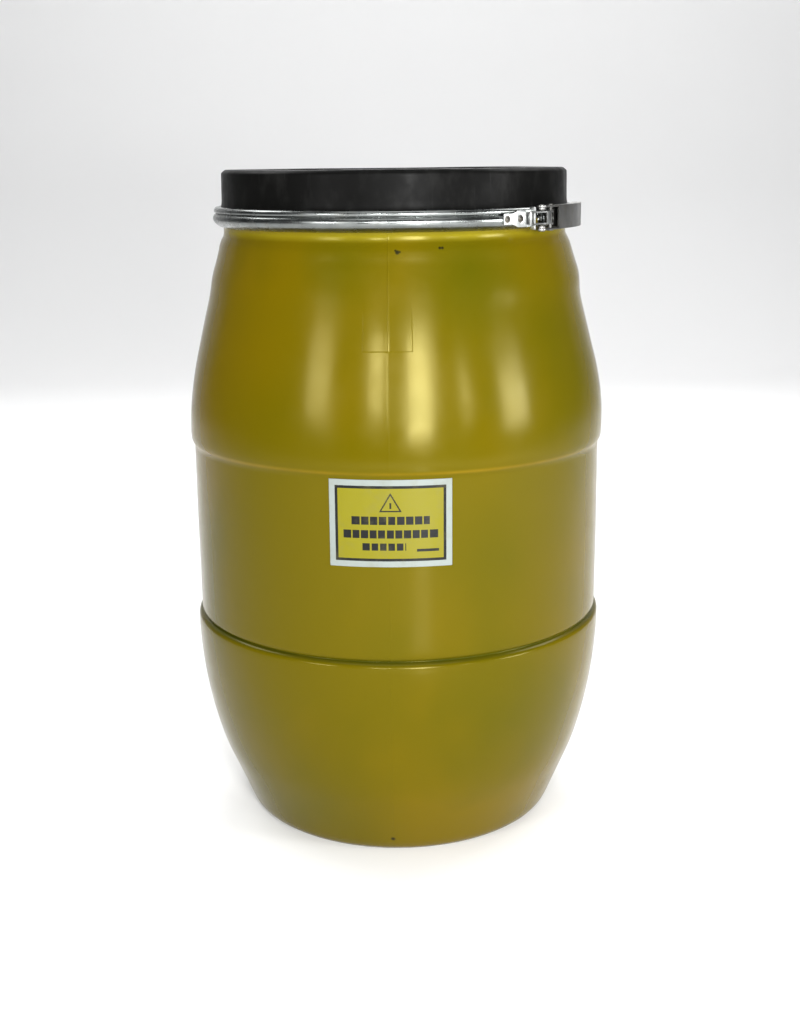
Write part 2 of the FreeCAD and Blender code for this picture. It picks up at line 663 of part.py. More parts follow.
def lever_bracket(doc, s):
    """Riveted base on the strip's fixed end with two arms that carry the lever's pivot."""
    middle = s.base_start
    body = new_body(doc, "lever_bracket", middle, s.ring_height)
    pivot = polar(s.pivot_radius, s.pivot_bearing - middle)

    def base(sketch):
        plate_sector(sketch, s, 0.0, s.base_end - middle)

    def arm(sketch):
        outline(sketch, [
            (*polar(s.arm_inner, s.arm_start - middle), s.arm_inner),
            polar(s.arm_inner, s.base_rivet_1 - middle),
            polar(s.ring_nose + s.seat_gap + s.plate, s.base_rivet_1 - middle),
            (*polar(s.ring_nose + s.seat_gap + s.plate, s.base_start - middle),
             -s.arm_outer),
            polar(s.arm_outer, s.arm_bearing - middle),
            (pivot[0] + s.arm_boss, pivot[1]),
            (pivot[0] - s.arm_boss, pivot[1]),
        ])

    slab(body, "Base", -s.arm_half, s.arm_half, base)
    for side, name in ((1.0, "UpperArm"), (-1.0, "LowerArm")):
        low = s.arm_half - s.plate if side > 0 else -s.arm_half
        slab(body, name, low, low + s.plate, arm)
        slab(body, name + "Boss", low, low + s.plate,
             lambda sketch: disc(sketch, pivot, s.arm_boss))
    pierce(body, "PivotHole", pivot, s.pivot_pin + s.fit, -s.arm_half, s.arm_half)
    for index, bearing in enumerate((s.base_rivet_1, s.base_rivet_2)):
        radial_hole(body, "Hole%d" % index, bearing - middle, s.rivet_shank + s.fit)
    return body


def lever(doc, s):
    """Pressed channel: two forked flanges round the pivot, then a web along the ring."""
    tip = s.tip_bearing
    body = new_body(doc, "lever", tip, s.ring_height)
    pivot = polar(s.pivot_radius, s.pivot_bearing - tip)
    pin = polar(s.link_radius, s.link_bearing - tip)

    def web(sketch):
        outline(sketch, [
            polar(s.lever_rise, s.web_start - tip),
            (*polar(s.lever_outer, s.web_settle - tip), s.lever_outer),
            polar(s.lever_outer, 0.0),
            (*polar(s.lever_outer - s.lever_sheet, 0.0), -(s.lever_outer - s.lever_sheet)),
            polar(s.lever_outer - s.lever_sheet, s.web_settle - tip),
            polar(s.lever_rise - s.lever_sheet, s.web_start - tip),
        ])

    def flange(sketch):
        outline(sketch, [
            (pivot[0] + s.lever_boss, pivot[1]),
            polar(s.lever_rise, s.web_start - tip),
            (*polar(s.lever_outer, s.web_settle - tip), s.lever_outer),
            polar(s.lever_outer, 0.0),
            (*polar(s.lever_inner, -s.tip_trim), -s.lever_inner),
            polar(s.lever_inner, s.arm_bearing - tip),
            (pivot[0] - s.lever_boss, pivot[1]),
        ])

    def end_plate(sketch):
        sector(sketch, s.ring_nose + s.seat_gap * 2.0, s.lever_outer, -s.ear_sheet, 0.0)

    slab(body, "Web", -s.lever_half, s.lever_half, web)
    for side, name in ((1.0, "Upper"), (-1.0, "Lower")):
        low = s.lever_half - s.lever_sheet if side > 0 else -s.lever_half
        slab(body, name + "Flange", low, low + s.lever_sheet, flange)
        slab(body, name + "Boss", low, low + s.lever_sheet,
             lambda sketch: disc(sketch, pivot, s.lever_boss))
    slab(body, "EndPlate", -s.lever_half, s.lever_half, end_plate)
    pierce(body, "PivotHole", pivot, s.pivot_pin + s.fit, -s.lever_half, s.lever_half)
    pierce(body, "PinHole", pin, s.pivot_pin + s.fit, -s.lever_half, s.lever_half)
    hole = new_sketch(body, "XZ_Plane", "SealHoleSketch", -s.cut_over)
    disc(hole, (s.seal_radius, 0.0), s.seal_hole)
    pocket(body, "SealHole", hole, seal_hole_run(s))
    return body


def seal_lug(doc, s):
    """Riveted lug on the strip whose drilled ear faces the lever's tip."""
    bearing = seal_ear_bearing(s)
    body = new_body(doc, "seal_lug", bearing, s.ring_height)
    slab(body, "Foot", -s.seal_foot_half, s.seal_foot_half,
         lambda sketch: plate_sector(sketch, s, 0.0, s.seal_foot))
    slab(body, "Ear", -s.seal_half, s.seal_half,
         lambda sketch: sector(sketch, s.ring_nose + s.seat_gap, s.lever_outer,
                               0.0, s.ear_sheet))
    hole = new_sketch(body, "XZ_Plane", "SealHoleSketch", s.cut_over)
    disc(hole, (s.seal_radius, 0.0), s.seal_hole)
    pocket(body, "SealHole", hole, seal_hole_run(s), ahead=False)
    radial_hole(body, "RivetHole", s.seal_rivet, s.rivet_shank + s.fit)
    return body


def hook_bearing(s):
    """The hook bar stands behind the ear by its own radius and its play."""
    return s.ear_start - arc_degrees(s.hook_bar + s.hook_play, s.hook_radius)


def link(doc, s):
    """Stirrup: two straps and a bridge from the link's pin to a bar that hooks the ear."""
    middle = s.link_bearing
    body = new_body(doc, "link", middle, s.ring_height)
    pin = polar(s.link_radius, 0.0)
    bar = polar(s.hook_radius, hook_bearing(s) - middle)
    inner = s.link_half - s.plate

    def strap(sketch):
        outline(sketch, [
            (pin[0] + s.link_eye, 0.0),
            (pin[0] - s.link_eye, 0.0),
            (bar[0] - s.hook_bar, bar[1]),
            (bar[0] + s.hook_bar, bar[1]),
        ])

    def bridge(sketch):
        start, end = s.bridge_start - middle, s.bridge_end - middle
        face = s.link_radius + s.link_eye - s.seat_gap
        outline(sketch, [
            polar(face, start),
            polar(face, end),
            polar(face - s.plate, end),
            polar(face - s.plate, start),
        ])

    slab(body, "HookBar", -s.link_half, s.link_half,
         lambda sketch: disc(sketch, bar, s.hook_bar))
    for side, name in ((1.0, "Upper"), (-1.0, "Lower")):
        low = inner if side > 0 else -s.link_half
        slab(body, name + "Strap", low, low + s.plate, strap)
        slab(body, name + "Eye", low, low + s.plate,
             lambda sketch: disc(sketch, pin, s.link_eye))
    slab(body, "Bridge", -s.link_half, s.link_half, bridge)
    pierce(body, "PinHole", pin, s.pivot_pin + s.fit, -s.link_half, s.link_half)
    return body


def link_pin(doc, s):
    """Headed pin through both of the lever's flanges and both of the link's straps."""
    body = new_body(doc, "link_pin", s.link_bearing, s.ring_height)
    centre = polar(s.link_radius, 0.0)
    low = -(s.lever_half + s.pin_dome)
    slab(body, "Shank", low, s.lever_half + s.pin_dome,
         lambda sketch: disc(sketch, centre, s.pivot_pin))
    slab(body, "LowerHead", low, -s.lever_half,
         lambda sketch: disc(sketch, centre, s.pin_head))
    slab(body, "UpperHead", s.lever_half, s.lever_half + s.pin_dome,
         lambda sketch: disc(sketch, centre, s.pin_head))
    return body


def pivot_rivet(doc, s, name, side):
    """Short rivet that joins one of the lever's flanges to the bracket's arm beside it."""
    body = new_body(doc, name, s.pivot_bearing, s.ring_height)
    centre = polar(s.pivot_radius, 0.0)
    inner = s.arm_half - s.plate
    levels = [
        ("Tail", inner - s.rivet_tail, inner, s.pivot_pin + s.rivet_tail),
        ("Shank", inner - s.rivet_tail, s.lever_half + s.pin_dome, s.pivot_pin),
        ("Head", s.lever_half, s.lever_half + s.pin_dome, s.pin_head),
    ]
    for step, low, high, radius in levels:
        if side < 0:
            low, high = -high, -low
        slab(body, step, low, high, lambda sketch, size=radius: disc(sketch, centre, size))
    return body


def check(doc):
    """Stops before anything is written if an object failed or came out empty."""
    for item in doc.Objects:
        if "Invalid" in item.State or "Error" in item.State:
            raise RuntimeError("%s failed: %s" % (item.Label, item.getStatusString()))


def write(parts):
    os.makedirs("parts", exist_ok=True)
    for item in parts:
        if item.Shape.isNull() or not item.Shape.isValid() or len(item.Shape.Solids) != 1:
            raise RuntimeError("%s is not one valid solid" % item.Label)
    for item in parts:
        item.Shape.exportStep("parts/%s.step" % item.Label)
        print("%-28s %10.1f mm3" % (item.Label, item.Shape.Volume))


def build():
    doc = FreeCAD.newDocument("SalvageDrum")
    s = make_sheet(doc)
    parts = [
        drum_body(doc, s),
        label(doc, s),
        lid(doc, s),
        lid_gasket(doc, s),
        clamp_band(doc, s),
        pull_bracket(doc, s),
        lever_bracket(doc, s),
        lever(doc, s),
        seal_lug(doc, s),
        link(doc, s),
        link_pin(doc, s),
        pivot_rivet(doc, s, "lever_pivot_rivet_top", 1),
        pivot_rivet(doc, s, "lever_pivot_rivet_bottom", -1),
        rivet(doc, s, "pull_bracket_rivet_1", s.pull_rivet_1),
        rivet(doc, s, "pull_bracket_rivet_2", s.pull_rivet_2),
        rivet(doc, s, "lever_bracket_rivet_1", s.base_rivet_1),
        rivet(doc, s, "lever_bracket_rivet_2", s.base_rivet_2),
        rivet(doc, s, "seal_lug_rivet", seal_ear_bearing(s) + s.seal_rivet),
    ]
    doc.recompute()
    check(doc)
    write(parts)


build()
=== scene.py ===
"""Open-head salvage drum: moulded plastic shell, printed film, dished black lid with its foam
gasket, and a zinc-coated clamp ring with its lever, hook link and rivets.

Everything is in metres in the frame's own axes: the drum stands on its foot ring with its axis
on +Z. A bearing is an angle round that axis, in degrees, from the front (-Y) towards +X.
"""
import math

import bmesh
import bpy
import numpy as np
from mathutils import Matrix


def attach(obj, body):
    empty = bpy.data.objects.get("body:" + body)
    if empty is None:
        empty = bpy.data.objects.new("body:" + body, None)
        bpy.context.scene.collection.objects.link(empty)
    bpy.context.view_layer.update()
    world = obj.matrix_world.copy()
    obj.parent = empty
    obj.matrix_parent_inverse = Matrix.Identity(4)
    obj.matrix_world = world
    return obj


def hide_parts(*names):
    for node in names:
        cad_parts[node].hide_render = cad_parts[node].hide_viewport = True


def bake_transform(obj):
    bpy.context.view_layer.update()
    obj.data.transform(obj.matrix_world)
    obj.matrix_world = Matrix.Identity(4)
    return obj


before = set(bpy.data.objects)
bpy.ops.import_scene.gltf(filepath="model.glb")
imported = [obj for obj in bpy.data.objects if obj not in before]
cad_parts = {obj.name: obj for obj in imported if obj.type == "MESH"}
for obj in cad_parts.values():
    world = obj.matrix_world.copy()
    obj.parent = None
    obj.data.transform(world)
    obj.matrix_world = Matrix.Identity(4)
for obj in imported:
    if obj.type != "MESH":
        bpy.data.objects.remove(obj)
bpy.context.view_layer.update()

# ---------------------------------------------------------------------------------------------
# Camera: at the height of the lid's top, a step and a half back, looking down at the belly.
# ---------------------------------------------------------------------------------------------
eye_back, eye_height = 1.6924, 0.7877
look_down, lean = 0.241, -0.010
film_width, focal_length, frame_shift = 36.0, 49.88, 0.0028
camera_data = bpy.data.cameras.new("camera")
camera_data.sensor_width = film_width
camera_data.lens = focal_length
camera_data.shift_x = frame_shift
camera = bpy.data.objects.new("camera", camera_data)
bpy.context.scene.collection.objects.link(camera)
camera.matrix_world = (
    Matrix.Translation((0.0, -eye_back, eye_height))
    @ Matrix.Rotation(math.pi / 2 - look_down, 4, "X")
    @ Matrix.Rotation(lean, 4, "Z")
)
bpy.context.scene.camera = camera
bpy.context.scene.view_settings.view_transform = "Standard"


# ---------------------------------------------------------------------------------------------
# Studio: one pale sheet that runs along the floor and curves up behind the drum, soft boxes in
# front whose reflections stand on the shoulder, and an even sky that fills the shadows.
# ---------------------------------------------------------------------------------------------
def linked(name, mesh):
    """Puts a mesh in the scene as an object at the origin."""
    item = bpy.data.objects.new(name, mesh)
    bpy.context.scene.collection.objects.link(item)
    return item


def grid_object(name, points, around=False, along=False):
    """A sheet through points[row, column]: each cell of the grid is one four-sided face, and a
    direction that closes joins its last line to its first. The faces look out to the side where
    rows cross columns by the right-hand rule."""
    rows, columns = points.shape[:2]
    number = np.arange(rows * columns).reshape(rows, columns)
    if along:
        number = np.concatenate([number, number[:1]], axis=0)
    if around:
        number = np.concatenate([number, number[:, :1]], axis=1)
    corners = np.stack(
        [number[:-1, :-1], number[:-1, 1:], number[1:, 1:], number[1:, :-1]], axis=-1
    ).reshape(-1, 4)
    mesh = bpy.data.meshes.new(name)
    mesh.vertices.add(rows * columns)
    mesh.vertices.foreach_set("co", points.astype(np.float32).ravel())
    mesh.loops.add(corners.size)
    mesh.loops.foreach_set("vertex_index", corners.astype(np.int32).ravel())
    mesh.polygons.add(len(corners))
    mesh.polygons.foreach_set("loop_start", np.arange(0, corners.size, 4, dtype=np.int32))
    mesh.polygons.foreach_set("loop_total", np.full(len(corners), 4, dtype=np.int32))
    mesh.update(calc_edges=True)
    mesh.shade_smooth()
    return linked(name, mesh)


def new_material(name):
    """An empty node material: its tree and its surface shader."""
    material = bpy.data.materials.new(name)
    material.use_nodes = True
    tree = material.node_tree
    return material, tree, tree.nodes["Principled BSDF"]


def dress(item, *materials):
    """Gives an object its materials, in order."""
    item.data.materials.clear()
    for material in materials:
        item.data.materials.append(material)


def studio_sheet():
    """Profile: flat floor, a quarter circle of radius curve, then an upright wall; it is carried
    straight across from left to right."""
    half_width, front, back, curve, wall = 7.0, -5.0, 3.4, 1.6, 5.0
    turn = np.linspace(0.0, math.pi / 2, 25)
    reach = np.concatenate([[front], back + curve * np.sin(turn), [back + curve]])
    rise = np.concatenate([[0.0], curve * (1 - np.cos(turn)), [wall]])
    across = np.linspace(-half_width, half_width, 3)
    points = np.empty((len(reach), len(across), 3))
    points[..., 0] = across[None, :]
    points[..., 1] = reach[:, None]
    points[..., 2] = rise[:, None] - 0.0002
    return grid_object("studio_sheet", points[:, ::-1])


sheet = studio_sheet()
paper, _, paper_shader = new_material("studio_paper")
paper_shader.inputs["Base Color"].default_value = (0.86, 0.86, 0.86, 1.0)
paper_shader.inputs["Roughness"].default_value = 0.9
paper_shader.inputs["Specular IOR Level"].default_value = 0.1
dress(sheet, paper)


def soft_box(name, bearing, height, distance, width, tall, power):
    """A rectangular light of some watts at a bearing round the drum, facing the belly."""
    data = bpy.data.lights.new(name, "AREA")
    data.shape = "RECTANGLE"
    data.size, data.size_y = width, tall
    data.energy = power
    lamp = bpy.data.objects.new(name, data)
    bpy.context.scene.collection.objects.link(lamp)
    angle = math.radians(bearing)
    place = np.array([distance * math.sin(angle), -distance * math.cos(angle), height])
    aim = np.array([0.0, 0.0, belly_middle]) - place
    tilt = math.atan2(aim[2], math.hypot(aim[0], aim[1]))
    lamp.matrix_world = (
        Matrix.Translation(place)
        @ Matrix.Rotation(angle, 4, "Z")
        @ Matrix.Rotation(math.pi / 2 + tilt, 4, "X")
    )


belly_middle = 0.45
for soft_box_row in (
    # name, bearing, height, distance, width, tall, power
    ("window_main", 12.0, 1.14, 3.4, 0.74, 1.04, 150.0),
    ("window_middle", -10.5, 1.30, 3.4, 0.32, 0.66, 38.0),
    ("window_left", -41.0, 1.16, 3.2, 0.72, 0.80, 37.0),
    ("window_thin", 36.0, 1.06, 3.3, 0.24, 0.50, 12.0),
    ("window_right", 64.0, 0.88, 3.2, 0.86, 0.66, 56.0),
    ("ceiling", 0.0, 4.4, 0.9, 3.2, 2.2, 42.0),
    ("sheet_light_left", -128.0, 3.6, 3.0, 2.4, 1.4, 66.0),
    ("sheet_light_right", 128.0, 3.6, 3.0, 2.4, 1.4, 66.0),
    ("back_fill", 180.0, 2.9, 2.7, 1.8, 1.2, 62.0),
):
    soft_box(*soft_box_row)

strip_place, strip_bearing = (0.32, -1.50, 0.012), 12.0
strip_width, strip_length, strip_power = 0.16, 1.3, 3.2
floor_strip = bpy.data.lights.new("floor_strip", "AREA")
floor_strip.shape = "RECTANGLE"
floor_strip.size, floor_strip.size_y = strip_width, strip_length
floor_strip.energy = strip_power
floor_lamp = bpy.data.objects.new("floor_strip", floor_strip)
bpy.context.scene.collection.objects.link(floor_lamp)
floor_lamp.matrix_world = (
    Matrix.Translation(strip_place)
    @ Matrix.Rotation(math.radians(strip_bearing), 4, "Z")
    @ Matrix.Rotation(math.pi, 4, "X")
)

world = bpy.data.worlds.new("studio_world")
bpy.context.scene.world = world
world.use_nodes = True
sky = world.node_tree.nodes["Background"]
sky_colour, sky_strength = (0.93, 0.96, 1.0, 1.0), 0.09
sky.inputs["Color"].default_value = sky_colour
sky.inputs["Strength"].default_value = sky_strength


# ---------------------------------------------------------------------------------------------
# Drum shell: one blow-moulded piece of polyethylene, about 4.5 mm thick. It has a foot ring, a
# lower and an upper belly band, a shoulder with a soft knuckle, a neck, the bead that the clamp
# ring grips and an upright lip. The mould's parting lines run up the front and the back.
# ---------------------------------------------------------------------------------------------
mm = 0.001


def traced(vertices, step=1.5 * mm):
    """Follows an outline of vertices (radius, height, softness[, bow]) in small steps. A bow is
    the radius of an arc to the next vertex, positive where it bulges to the right of the way.
    Returns the points and each point's softness, both read off between the vertices."""
    points, softness = [], []
    for here, there in zip(vertices[:-1], vertices[1:]):
        start, end = np.array(here[:2]), np.array(there[:2])
        span = np.linalg.norm(end - start)
        share = np.linspace(0.0, 1.0, max(3, int(span / step) + 1))[:-1]
        run = start + share[:, None] * (end - start)
        if len(here) == 4:
            bow = here[3]
            side = np.array([end[1] - start[1], start[0] - end[0]]) / span
            away = (share - 0.5) * span
            depth = np.sqrt(bow * bow - away**2) - math.sqrt(bow * bow - span * span / 4)
            run = run + math.copysign(1.0, bow) * depth[:, None] * side
        points.append(run)
        softness.append(here[2] + share * (there[2] - here[2]))
    points.append(np.array([vertices[-1][:2]]))
    softness.append(np.array([vertices[-1][2]]))
    return np.concatenate(points), np.concatenate(softness)


def softened(points, softness, closed=False):
    """Rounds an outline: each point becomes the average of its neighbours along the way, weighed
    by a bell curve as wide as its softness. An open outline keeps its two ends."""
    steps = np.linalg.norm(np.diff(points, axis=0), axis=1)
    way = np.concatenate([[0.0], np.cumsum(steps)])
    apart = way[:, None] - way[None, :]
    if closed:
        whole = way[-1] + np.linalg.norm(points[0] - points[-1])
        apart = (apart + whole / 2) % whole - whole / 2
    weight = np.exp(-0.5 * (apart / softness[:, None]) ** 2)
    share = np.gradient(way)
    weight = weight * share[None, :]
    soft = weight @ points / weight.sum(axis=1, keepdims=True)
    if not closed:
        near = np.minimum(way, way[-1] - way) / (2.0 * softness)
        keep = np.clip(1.0 - near, 0.0, 1.0)[:, None]
        soft = keep * points + (1 - keep) * soft
    return soft


def spaced_by_bend(points, count, bend_weight):
    """Picks count points along an outline, closer together where it bends: the spacing follows
    the running sum of each step's length plus bend_weight times the angle it turns through."""
    step = np.diff(points, axis=0)
    length = np.linalg.norm(step, axis=1)
    heading = np.unwrap(np.arctan2(step[:, 1], step[:, 0]))
    turning = np.abs(np.gradient(heading))
    cost = np.concatenate([[0.0], np.cumsum(length + bend_weight * turning)])
    wanted = np.linspace(0.0, cost[-1], count)
    return np.stack([np.interp(wanted, cost, points[:, axis]) for axis in (0, 1)], axis=1)


def bearings_with(spots, count):
    """Bearings all the way round, count of them even and a cluster of closer ones at each spot."""
    cluster = np.array([-1.2, -0.6, -0.35, -0.2, -0.08, 0.0, 0.08, 0.2, 0.35, 0.6, 1.2])
    close = np.concatenate([spot + cluster for spot in spots]) % 360.0
    even = np.arange(count) * 360.0 / count
    gap = np.abs((even[:, None] - close[None, :] + 180.0) % 360.0 - 180.0).min(axis=1)
    return np.sort(np.concatenate([even[gap > 0.25], close]))


def closed_pole(item, rows, columns, row):
    """Merges a row of the grid that lies on the axis into one point."""
    shape = bmesh.new()
    shape.from_mesh(item.data)
    shape.verts.ensure_lookup_table()
    first = row * columns
    bmesh.ops.remove_doubles(shape, verts=shape.verts[first : first + columns], dist=1e-5)
    shape.to_mesh(item.data)
    shape.free()


wall = 4.5 * mm
seam_front, seam_back = -2.0, 178.0
insert_left, insert_right = -8.75, 4.5
insert_low, insert_high = 594 * mm, 640 * mm
insert_step = 0.30 * mm
seam_ridge, seam_ledge = 0.34, 0.16
crown_start, crown_end = 476 * mm, 699 * mm
crown_reach, crown_drop, crown_run, crown_power = 248.6 * mm, 13.3 * mm, 97 * mm, 1.453
outside = [
    (0.0, 9.0 * mm, 3 * mm),
    (128 * mm, 9.0 * mm, 5 * mm),
    (150 * mm, 7.0 * mm, 4 * mm),
    (163 * mm, 0.0, 2.0 * mm),
    (181 * mm, 0.0, 2.2 * mm),
    (189.2 * mm, 6.5 * mm, 4 * mm),
    (222 * mm, 84 * mm, 9 * mm, 560 * mm),
    (248.5 * mm, 234 * mm, 3 * mm),
    (248.6 * mm, 250.6 * mm, 0.9 * mm),
    (246.4 * mm, 253.0 * mm, 0.6 * mm),
    (241.6 * mm, 255.2 * mm, 0.6 * mm),
    (244.6 * mm, 258.2 * mm, 0.9 * mm),
    (244.6 * mm, 300 * mm, 3 * mm),
    (244.6 * mm, 462.6 * mm, 0.8 * mm),
    (248.3 * mm, 467.6 * mm, 1.5 * mm),
    (248.6 * mm, 476.0 * mm, 3.0 * mm),
    (248.5 * mm, 500 * mm, 5 * mm, 330 * mm),
    (235.2 * mm, 573 * mm, 5 * mm),
    (220.9 * mm, 629 * mm, 5 * mm, -60 * mm),
    (218.9 * mm, 650 * mm, 4 * mm, 60 * mm),
    (213.4 * mm, 673 * mm, 4 * mm),
    (206.2 * mm, 696.5 * mm, 1.4 * mm),
    (201.4 * mm, 705.4 * mm, 0.5 * mm),
    (200.9 * mm, 707.2 * mm, 0.4 * mm),
    (200.7 * mm, 717 * mm, 1.0 * mm),
    (208.0 * mm, 721.4 * mm, 0.8 * mm),
    (208.0 * mm, 726.8 * mm, 0.5 * mm),
    (196.3 * mm, 726.8 * mm, 0.7 * mm),
    (196.3 * mm, 768 * mm, 0.9 * mm),
    (191.6 * mm, 768 * mm, 0.9 * mm),
    (191.6 * mm, 718 * mm, 2.0 * mm),
    (200.8 * mm - wall, 706 * mm, 3 * mm),
    (213.4 * mm - wall, 673 * mm, 4 * mm, -60 * mm),
    (218.9 * mm - wall, 650 * mm, 4 * mm),
    (235.2 * mm - wall, 573 * mm, 5 * mm, -330 * mm),
    (248.5 * mm - wall, 500 * mm, 5 * mm),
    (248.5 * mm - wall, 475 * mm, 4 * mm),
    (244.6 * mm - wall, 461 * mm, 4 * mm),
    (244.6 * mm - wall, 262 * mm, 3 * mm),
    (243.2 * mm - wall, 254.5 * mm, 3 * mm),
    (248.5 * mm - wall, 247 * mm, 4 * mm),
    (248.5 * mm - wall, 234 * mm, 5 * mm, -560 * mm),
    (222 * mm - wall, 84 * mm, 9 * mm),
    (188 * mm - wall, 12 * mm, 4 * mm),
    (164 * mm, 8.5 * mm, 4 * mm),
    (146 * mm, 13.5 * mm, 4 * mm),
    (0.0, 13.5 * mm, 3 * mm),
]
shell_path, shell_softness = traced(outside)
shell_profile = spaced_by_bend(softened(shell_path, shell_softness), 296, 9 * mm)
shell_profile[[0, -1], 0] = 0.0
shell_bearings = bearings_with([seam_front % 360, seam_back, insert_left % 360, insert_right], 258)


def shell_relief(profile, bearings):
    """How far the outside stands proud of the plain profile, in metres: slow waves left by the
    cooling of the moulding, the two parting lines, and the step round the mould's insert."""
    height = profile[:, 1:]
    angle = np.radians(bearings)[None, :]
    inner = (np.arange(len(profile)) > np.argmax(profile[:, 1]))[:, None]
    side = np.clip((height - 0.012) / 0.03, 0, 1) * np.clip((0.70 - height) / 0.02, 0, 1)
    waves = (
        0.26 * np.sin(2 * angle + 9.0 * height + 0.6)
        + 0.20 * np.sin(3 * angle - 17.0 * height + 1.9)
        + 0.11 * np.sin(7 * angle + 31.0 * height)
        + 0.08 * np.sin(11 * angle - 23.0 * height + 0.8)
    )
    relief = waves * mm * side
    # the knuckle under the neck stands out on the two sides and fades into a plain crown, whose
    # radius falls off as a power of the height over the belly
    rise = np.maximum(height - crown_start, 0.0)
    crown = crown_reach - crown_drop * (rise / crown_run) ** crown_power
    near_crown = np.clip(rise / (6 * mm), 0, 1) * np.clip((crown_end - height) / (8 * mm), 0, 1)
    sides = np.sin(angle) ** 2 * (0.75 + 0.25 * np.sin(angle))
    relief = relief + (crown - profile[:, :1]) * near_crown * (1.0 - sides)

    def apart(spot):
        """Bearing from a spot, from -180 to 180 degrees."""
        return (np.asarray(bearings)[None, :] - spot + 180.0) % 360.0 - 180.0

    for spot in (seam_front, seam_back):
        ridge = np.exp(-((apart(spot) / 0.16) ** 2))
        ledge = np.clip(0.5 + apart(spot) / 0.2, 0, 1) * np.exp(-np.abs(apart(spot)) / 3.0)
        tall = np.clip((height - 0.004) / 0.01, 0, 1) * np.clip((0.717 - height) / 0.002, 0, 1)
        strong = 0.25 + 0.75 * np.clip((height - insert_low) / 0.002, 0, 1)
        relief = relief + (seam_ridge * ridge + seam_ledge * ledge) * mm * tall * strong
    inside = (apart(insert_left) > 0) & (apart(insert_right) < 0)
    inside = inside & (height > insert_low) & (height < insert_high)
    fading = np.clip((insert_high - height) / 0.03, 0, 1)
    relief = relief + np.where(inside, insert_step, 0.0) * fading
    return np.where(inner, 0.0, relief)


def moved_out(profile, bearings, relief):
    """Adds relief along the outline's own normal, which is its direction turned a right angle."""
    along = np.gradient(profile, axis=0)
    along /= np.maximum(np.linalg.norm(along, axis=1, keepdims=True), 1e-9)
    radius = profile[:, :1] + along[:, 1:] * relief
    height = profile[:, 1:] - along[:, :1] * relief
    angle = np.radians(bearings)[None, :]
    return np.stack([radius * np.sin(angle), -radius * np.cos(angle), height], axis=-1)


# rows close up round the insert's lower edge, so that its step is crisp
near_insert = insert_low + np.array([-1.6, -0.8, -0.3, 0.3, 0.8, 1.6]) * mm
outer_rows = np.argmax(shell_profile[:, 1])
keep_rows = np.abs(shell_profile[:outer_rows, 1:] - near_insert[None, :]).min(axis=1) > 1.2 * mm
outer_part = shell_profile[:outer_rows][keep_rows]
first_upright = 80
upright = outer_part[first_upright:]
extra = np.stack([np.interp(near_insert, upright[:, 1], upright[:, 0]), near_insert], axis=1)
order = np.searchsorted(upright[:, 1], near_insert) + first_upright
shell_profile = np.concatenate(
    [np.insert(outer_part, order, extra, axis=0), shell_profile[outer_rows:]]
)

shell_points = moved_out(
    shell_profile, shell_bearings, shell_relief(shell_profile, shell_bearings)
)
shell = grid_object("drum_shell", shell_points, around=True)
closed_pole(shell, len(shell_profile), len(shell_bearings), len(shell_profile) - 1)
closed_pole(shell, len(shell_profile), len(shell_bearings), 0)


def noise(tree, scale, detail=3.0, roughness=0.5, stretch=(1.0, 1.0, 1.0), offset=(0, 0, 0)):
    """Noise over the object's own coordinates: scale is in waves per metre, and stretch draws
    it out along an axis."""
    where = tree.nodes.new("ShaderNodeTexCoord")
    fit = tree.nodes.new("ShaderNodeMapping")
    fit.inputs["Scale"].default_value = stretch
    fit.inputs["Location"].default_value = offset
    pattern = tree.nodes.new("ShaderNodeTexNoise")
    pattern.inputs["Scale"].default_value = scale
    pattern.inputs["Detail"].default_value = detail
    pattern.inputs["Roughness"].default_value = roughness
    tree.links.new(where.outputs["Object"], fit.inputs["Vector"])
    tree.links.new(fit.outputs["Vector"], pattern.inputs["Vector"])
    return pattern.outputs["Fac"]


def spread(tree, value, low, high, to_low=0.0, to_high=1.0):
    """Stretches a value from one range to another, and holds it inside."""
    node = tree.nodes.new("ShaderNodeMapRange")
    node.clamp = True
    ends = {"From Min": low, "From Max": high, "To Min": to_low, "To Max": to_high}
    for name, number in ends.items():
        node.inputs[name].default_value = number
    tree.links.new(value, node.inputs["Value"])
    return node.outputs["Result"]


def mixed(tree, share, first, second):
    """Two colours mixed by a share; each may be a colour or another node's output."""
    node = tree.nodes.new("ShaderNodeMix")
    node.data_type = "RGBA"
    tree.links.new(share, node.inputs["Factor"])
    for socket, colour in ((node.inputs[6], first), (node.inputs[7], second)):
        if isinstance(colour, tuple):
            socket.default_value = (*colour, 1.0)
        else:
            tree.links.new(colour, socket)
    return node.outputs[2]


def near(tree, place, reach):
    """One at a place on the object, falling to nothing at a distance of reach."""
    where = tree.nodes.new("ShaderNodeTexCoord")
    far = tree.nodes.new("ShaderNodeVectorMath")
    far.operation = "DISTANCE"
    far.inputs[1].default_value = place
    tree.links.new(where.outputs["Object"], far.inputs[0])
    return spread(tree, far.outputs["Value"], 0.0, reach, 1.0, 0.0)


def bumped(tree, shader, value, depth, strength=1.0):
    """Feeds a height pattern to the shader's normal; depth is in metres."""
    node = tree.nodes.new("ShaderNodeBump")
    node.inputs["Distance"].default_value = depth
    node.inputs["Strength"].default_value = strength
    tree.links.new(value, node.inputs["Height"])
    tree.links.new(node.outputs["Normal"], shader.inputs["Normal"])


def times(tree, first, second):
    """Product of two values, each a number or another node's output."""
    node = tree.nodes.new("ShaderNodeMath")
    node.operation = "MULTIPLY"
    for socket, value in zip(node.inputs, (first, second)):
        if isinstance(value, (int, float)):
            socket.default_value = value
        else:
            tree.links.new(value, socket)
    return node.outputs["Value"]


def at_bearing(radius, bearing, height):
    """A place from its radius, its bearing in degrees and its height."""
    angle = math.radians(bearing)
    return (radius * math.sin(angle), -radius * math.cos(angle), height)


